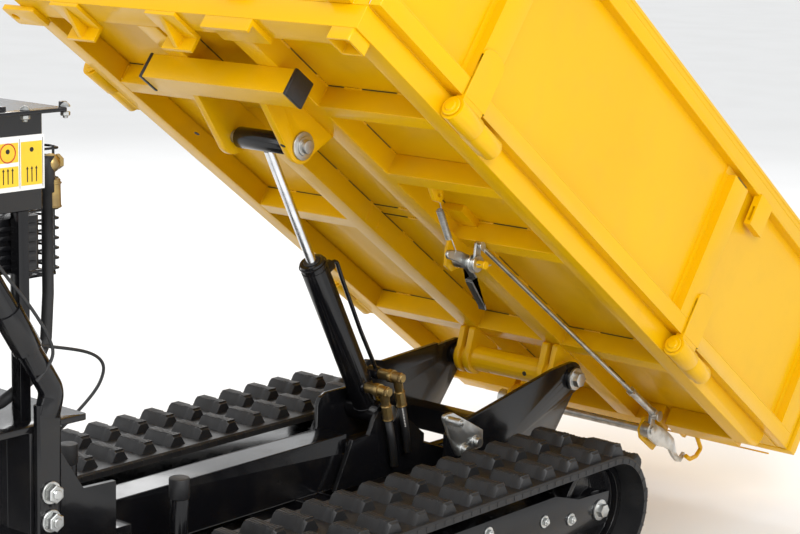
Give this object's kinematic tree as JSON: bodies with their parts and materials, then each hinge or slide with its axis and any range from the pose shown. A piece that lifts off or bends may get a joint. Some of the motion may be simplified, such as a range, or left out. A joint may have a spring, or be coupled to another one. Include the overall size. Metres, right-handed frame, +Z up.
{
  "type": "power wheelbarrow",
  "caption": "Rubber-tracked power wheelbarrow with a hydraulic tipping bed, drop sides, top-hung tailgate with automatic latch, and a walk-behind engine unit.",
  "frame": {"origin": "centre of the footprint of the whole machine at rest, on the ground under the tracks", "axes": "+X towards the dump end, +Y to the machine's left seen by the operator facing the dump end, +Z up"},
  "size_m": [2.1458, 0.768, 1.2029],
  "materials": {
    "yellow": "gloss machine enamel over welded steel",
    "black": "gloss black enamel",
    "zinc": "zinc plated steel",
    "chrome": "hard chrome ram rod",
    "brass": "aged brass fittings",
    "rubber": "moulded black rubber",
    "plastic": "grained black plastic",
    "cast": "cast housing",
    "tank_red": "red enamel",
    "steel_dull": "heat-dulled steel"
  },
  "bodies": {
    "chassis": {"chassis_frame": "black", "rest_caps": "rubber", "striker_bracket": "zinc", "chassis_fasteners": "zinc", "belt_left": "rubber", "belt_right": "rubber", "track_frame_left": "black", "track_frame_right": "black", "engine_deck": "black", "gearbox": "cast", "engine_block": "cast", "fan_housing": "plastic", "fuel_tank": "tank_red", "muffler": "steel_dull", "wire_guard": "black", "oil_tank": "black", "tank_hose": "rubber", "valve_block": "zinc", "handlebars": "black", "console": "black", "grips": "rubber"},
    "bed": {"bed_floor": "yellow", "bed_perimeter": "yellow", "bed_spars": "yellow", "bed_cross_tube": "yellow", "cross_tube_caps": "plastic", "bed_pivot": "yellow", "side_hinges": "yellow", "latch_brackets": "yellow", "bed_hooks": "yellow", "bed_pins": "zinc"},
    "side_left": {"drop_side_left": "yellow"},
    "side_right": {"drop_side_right": "yellow"},
    "tailgate_body": {"tailgate": "yellow"},
    "lever": {"latch_lever": "zinc"},
    "lever_rod": {"latch_rod": "zinc"},
    "hooks": {"latch_hooks": "zinc"},
    "lever_spring": {"latch_spring": "zinc"},
    "ram_upper": {"ram_eye": "black", "ram_rod": "chrome"},
    "ram_lower": {"ram_barrel": "black", "ram_oil_line": "black", "ram_elbows": "brass", "ram_hoses": "rubber"},
    "striker_wheel": {"striker_roller": "zinc"},
    "sprocket_l": {"sprocket_left": "black"},
    "sprocket_r": {"sprocket_right": "black"},
    "idler_l": {"idler_left": "black"},
    "idler_r": {"idler_right": "black"},
    "valve_arm": {"valve_lever": "plastic"},
    "gear_arm": {"gear_lever": "plastic"},
    "throttle_arm": {"throttle_lever": "plastic"},
    "clutch_l": {"clutch_lever_left": "plastic"},
    "clutch_r": {"clutch_lever_right": "plastic"},
    "roller_l1": {"roller_left_1": "black"},
    "roller_l2": {"roller_left_2": "black"},
    "roller_l3": {"roller_left_3": "black"},
    "roller_r1": {"roller_right_1": "black"},
    "roller_r2": {"roller_right_2": "black"},
    "roller_r3": {"roller_right_3": "black"}
  },
  "joints": [
    {"name": "bed_tip", "type": "hinge", "parent": "chassis", "child": "bed", "pos_m": [0.525, 0, 0.26], "axis": [0, 1, 0], "range_deg": [-35, 0]},
    {"name": "side_left_drop", "type": "hinge", "parent": "bed", "child": "side_left", "pos_m": [0.23313, 0.365, 0.5388], "axis": [-0.809, 0, 0.5878], "range_deg": [0, 95]},
    {"name": "side_right_drop", "type": "hinge", "parent": "bed", "child": "side_right", "pos_m": [0.23313, -0.365, 0.5388], "axis": [0.809, 0, -0.5878], "range_deg": [0, 95]},
    {"name": "tailgate_swing", "type": "hinge", "parent": "bed", "child": "tailgate_body", "pos_m": [1.02695, 0, 0.37243], "axis": [0, -1, 0], "range_deg": [0, 90]},
    {"name": "latch_lever_turn", "type": "hinge", "parent": "bed", "child": "lever", "pos_m": [0.20021, -0.15, 0.5071], "axis": [0, 1, 0], "range_deg": [-24.5, 0.5]},
    {"name": "latch_rod_turn", "type": "hinge", "parent": "lever", "child": "lever_rod", "pos_m": [0.20137, -0.1765, 0.53592], "axis": [0, 1, 0], "range_deg": [-0.5, 24.5]},
    {"name": "latch_hook_turn", "type": "hinge", "parent": "bed", "child": "hooks", "pos_m": [0.72291, 0, 0.13599], "axis": [0, 1, 0], "range_deg": [-24.5, 0.5]},
    {"name": "latch_spring_turn", "type": "hinge", "parent": "bed", "child": "lever_spring", "pos_m": [0.0984, -0.168, 0.62557], "axis": [0, 1, 0], "range_deg": [-9, 0.5]},
    {"name": "ram_rod_turn", "type": "hinge", "parent": "bed", "child": "ram_upper", "pos_m": [-0.09506, 0, 0.70568], "axis": [0, 1, 0], "range_deg": [-25, 0.5]},
    {"name": "ram_stroke", "type": "slide", "parent": "ram_upper", "child": "ram_lower", "axis": [0.4733, 0, -0.8809], "range_m": [-0.1285, 0.001]},
    {"name": "striker_spin", "type": "hinge", "parent": "chassis", "child": "striker_wheel", "pos_m": [0.183, -0.15, 0.2535], "axis": [0, 1, 0], "continuous": true},
    {"name": "sprocket_l_spin", "type": "hinge", "parent": "chassis", "child": "sprocket_l", "pos_m": [-0.485, 0.26, 0.11], "axis": [0, 1, 0], "continuous": true},
    {"name": "idler_l_spin", "type": "hinge", "parent": "chassis", "child": "idler_l", "pos_m": [0.348, 0.26, 0.11], "axis": [0, 1, 0], "continuous": true},
    {"name": "roller_l1_spin", "type": "hinge", "parent": "chassis", "child": "roller_l1", "pos_m": [-0.3, 0.26, 0.05805], "axis": [0, 1, 0], "continuous": true},
    {"name": "roller_l2_spin", "type": "hinge", "parent": "chassis", "child": "roller_l2", "pos_m": [-0.06, 0.26, 0.05805], "axis": [0, 1, 0], "continuous": true},
    {"name": "roller_l3_spin", "type": "hinge", "parent": "chassis", "child": "roller_l3", "pos_m": [0.18, 0.26, 0.05805], "axis": [0, 1, 0], "continuous": true},
    {"name": "sprocket_r_spin", "type": "hinge", "parent": "chassis", "child": "sprocket_r", "pos_m": [-0.485, -0.26, 0.11], "axis": [0, 1, 0], "continuous": true},
    {"name": "idler_r_spin", "type": "hinge", "parent": "chassis", "child": "idler_r", "pos_m": [0.348, -0.26, 0.11], "axis": [0, 1, 0], "continuous": true},
    {"name": "roller_r1_spin", "type": "hinge", "parent": "chassis", "child": "roller_r1", "pos_m": [-0.3, -0.26, 0.05805], "axis": [0, 1, 0], "continuous": true},
    {"name": "roller_r2_spin", "type": "hinge", "parent": "chassis", "child": "roller_r2", "pos_m": [-0.06, -0.26, 0.05805], "axis": [0, 1, 0], "continuous": true},
    {"name": "roller_r3_spin", "type": "hinge", "parent": "chassis", "child": "roller_r3", "pos_m": [0.18, -0.26, 0.05805], "axis": [0, 1, 0], "continuous": true},
    {"name": "valve_lever_turn", "type": "hinge", "parent": "chassis", "child": "valve_arm", "pos_m": [-0.755, -0.105, 0.49], "axis": [0, 1, 0], "range_deg": [-14, 6]},
    {"name": "gear_lever_turn", "type": "hinge", "parent": "chassis", "child": "gear_arm", "pos_m": [-0.89734, 0, 0.878], "axis": [0, 1, 0], "range_deg": [-18, 18]},
    {"name": "throttle_lever_turn", "type": "hinge", "parent": "chassis", "child": "throttle_arm", "pos_m": [-0.91234, 0.056, 0.884], "axis": [0, 1, 0], "range_deg": [-10, 40]},
    {"name": "clutch_l_squeeze", "type": "hinge", "parent": "chassis", "child": "clutch_l", "pos_m": [-0.93233, 0.1563, 0.884], "axis": [0, 1, 0], "range_deg": [0, 9], "stiffness_Nm_per_rad": 6, "springref_deg": -5.73},
    {"name": "clutch_r_squeeze", "type": "hinge", "parent": "chassis", "child": "clutch_r", "pos_m": [-0.93233, -0.1563, 0.884], "axis": [0, 1, 0], "range_deg": [0, 9], "stiffness_Nm_per_rad": 6, "springref_deg": -5.73}
  ],
  "couplings": [
    {"joint": "roller_l1_spin", "follows": "sprocket_l_spin", "ratio": 2.8571},
    {"joint": "roller_l2_spin", "follows": "sprocket_l_spin", "ratio": 2.8571},
    {"joint": "roller_l3_spin", "follows": "sprocket_l_spin", "ratio": 2.8571},
    {"joint": "idler_l_spin", "follows": "sprocket_l_spin", "ratio": 1},
    {"joint": "roller_r1_spin", "follows": "sprocket_r_spin", "ratio": 2.8571},
    {"joint": "roller_r2_spin", "follows": "sprocket_r_spin", "ratio": 2.8571},
    {"joint": "roller_r3_spin", "follows": "sprocket_r_spin", "ratio": 2.8571},
    {"joint": "idler_r_spin", "follows": "sprocket_r_spin", "ratio": 1},
    {"joint": "ram_rod_turn", "follows": "bed_tip", "ratio": 0.6907},
    {"joint": "ram_stroke", "follows": "bed_tip", "m_per_rad": 0.20841},
    {"joint": "latch_lever_turn", "follows": "bed_tip", "ratio": 0.68},
    {"joint": "latch_rod_turn", "follows": "bed_tip", "ratio": -0.68},
    {"joint": "latch_hook_turn", "follows": "bed_tip", "ratio": 0.68},
    {"joint": "latch_spring_turn", "follows": "bed_tip", "ratio": 0.2}
  ]
}
